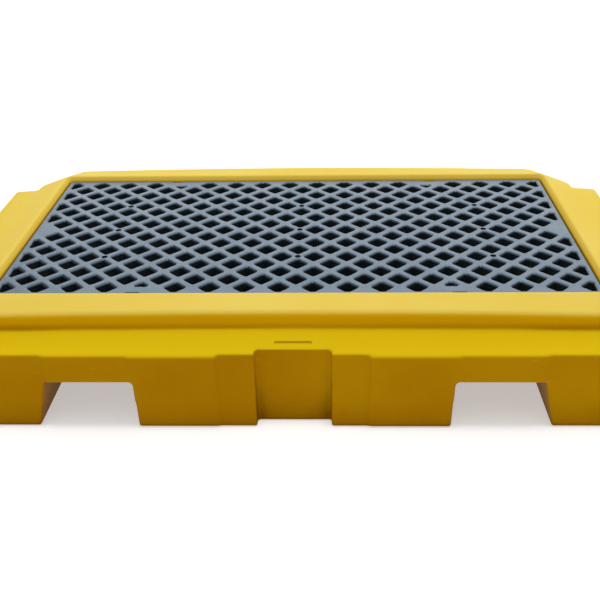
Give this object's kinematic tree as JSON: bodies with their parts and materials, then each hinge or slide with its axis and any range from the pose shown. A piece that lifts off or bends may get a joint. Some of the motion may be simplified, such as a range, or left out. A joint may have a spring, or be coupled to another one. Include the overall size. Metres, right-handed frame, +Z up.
{
  "type": "spill containment pallet",
  "caption": "Low two-drum spill pallet: hollow moulded sump with fork pockets and a lift-out diamond-lattice deck on support columns.",
  "frame": {"origin": "centre of the footprint, on the floor", "axes": "+X along the long side, +Y towards the rear, along the fork pockets, +Z up"},
  "size_m": [1.456, 0.908, 0.2225],
  "materials": {
    "sump_plastic": "rotomoulded, soft satin",
    "deck_plastic": "moulded, satin on the worn bar tops",
    "column_plastic": "moulded, matt"
  },
  "bodies": {
    "sump": {"sump": "sump_plastic"},
    "deck": {"deck_grate": "deck_plastic", "column_front_left": "column_plastic", "column_front_centre": "column_plastic", "column_front_right": "column_plastic", "column_middle_left": "column_plastic", "column_middle_centre": "column_plastic", "column_middle_right": "column_plastic", "column_rear_left": "column_plastic", "column_rear_centre": "column_plastic", "column_rear_right": "column_plastic"}
  },
  "joints": [
    {"name": "deck_lift", "type": "slide", "parent": "sump", "child": "deck", "axis": [0, 0, 1], "range_m": [0, 0.3]}
  ]
}
